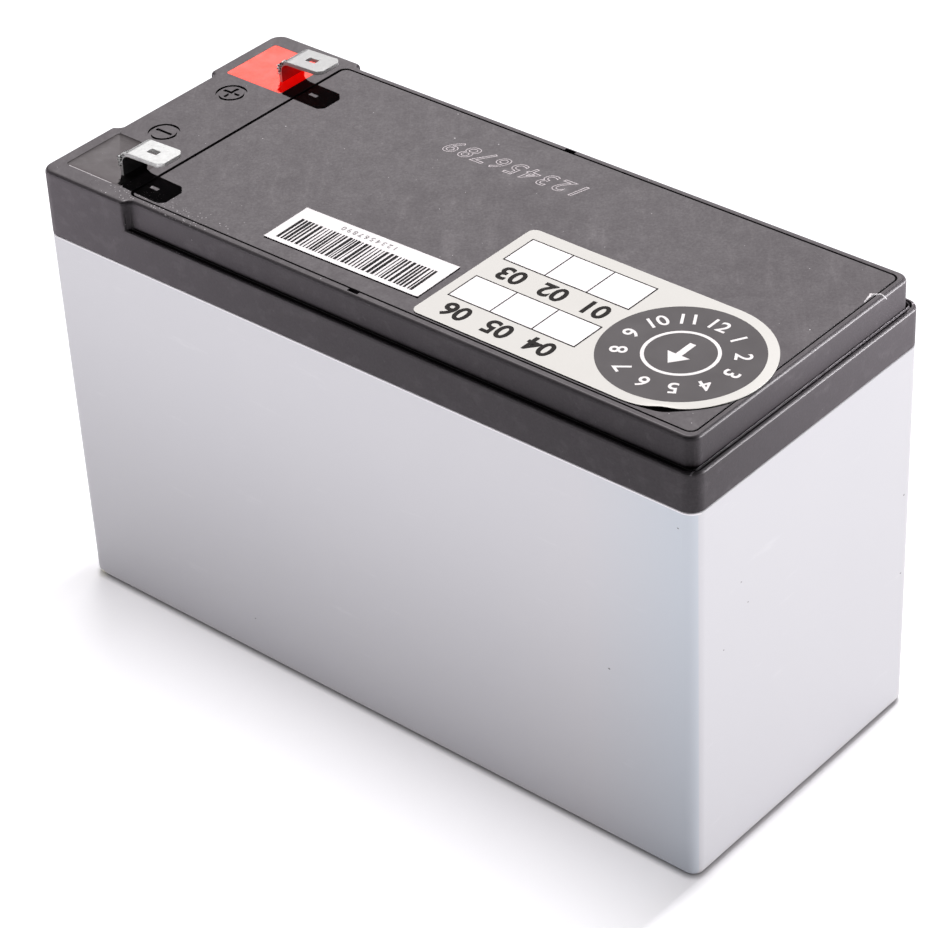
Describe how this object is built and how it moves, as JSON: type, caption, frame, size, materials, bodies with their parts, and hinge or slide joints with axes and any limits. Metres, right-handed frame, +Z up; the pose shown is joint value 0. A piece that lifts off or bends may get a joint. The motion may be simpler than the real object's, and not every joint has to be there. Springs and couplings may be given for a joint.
{
  "type": "sealed lead acid battery",
  "caption": "Rectangular sealed lead-acid battery: grey case, black stepped lid with a flush vent cover, two bent push-on tabs at one end and two paper labels.",
  "frame": {"origin": "centre of the flat bottom face of the case", "axes": "+X along the length, away from the terminals; +Y across the width, towards the positive terminal's side; +Z up, out of the lid"},
  "size_m": [0.151, 0.065, 0.098],
  "materials": {
    "grey_moulded_case": "fine satin moulding",
    "black_moulded_lid": "fine grained moulding with a low sheen",
    "tinned_brass": "bright tin plating, lightly brushed",
    "red_potting_resin": "poured glossy resin",
    "dark_potting_resin": "poured glossy resin",
    "black_rubber": "moulded rubber",
    "positive_lead": "brown oxide paste and cast lead",
    "negative_lead": "grey paste and cast lead",
    "glass_felt": "soft glass fibre felt",
    "white_label_paper": "coated paper",
    "cream_label_film": "satin film"
  },
  "bodies": {
    "root": {"container": "grey_moulded_case", "lid": "black_moulded_lid", "vent_cover_plate": "black_moulded_lid", "vent_cap_1": "black_rubber", "vent_cap_2": "black_rubber", "vent_cap_3": "black_rubber", "vent_cap_4": "black_rubber", "vent_cap_5": "black_rubber", "vent_cap_6": "black_rubber", "positive_tab": "tinned_brass", "negative_tab": "tinned_brass", "positive_sealing_ring": "black_rubber", "negative_sealing_ring": "black_rubber", "positive_terminal_seal": "red_potting_resin", "negative_terminal_seal": "dark_potting_resin", "positive_group_1": "positive_lead", "positive_group_2": "positive_lead", "positive_group_3": "positive_lead", "positive_group_4": "positive_lead", "positive_group_5": "positive_lead", "positive_group_6": "positive_lead", "negative_group_1": "negative_lead", "negative_group_2": "negative_lead", "negative_group_3": "negative_lead", "negative_group_4": "negative_lead", "negative_group_5": "negative_lead", "negative_group_6": "negative_lead", "felt_wrap_1_1": "glass_felt", "felt_wrap_1_2": "glass_felt", "felt_wrap_1_3": "glass_felt", "felt_wrap_1_4": "glass_felt", "felt_wrap_2_1": "glass_felt", "felt_wrap_2_2": "glass_felt", "felt_wrap_2_3": "glass_felt", "felt_wrap_2_4": "glass_felt", "felt_wrap_3_1": "glass_felt", "felt_wrap_3_2": "glass_felt", "felt_wrap_3_3": "glass_felt", "felt_wrap_3_4": "glass_felt", "felt_wrap_4_1": "glass_felt", "felt_wrap_4_2": "glass_felt", "felt_wrap_4_3": "glass_felt", "felt_wrap_4_4": "glass_felt", "felt_wrap_5_1": "glass_felt", "felt_wrap_5_2": "glass_felt", "felt_wrap_5_3": "glass_felt", "felt_wrap_5_4": "glass_felt", "felt_wrap_6_1": "glass_felt", "felt_wrap_6_2": "glass_felt", "felt_wrap_6_3": "glass_felt", "felt_wrap_6_4": "glass_felt", "barcode_label": "white_label_paper", "round_end_label": "cream_label_film"}
  },
  "joints": []
}
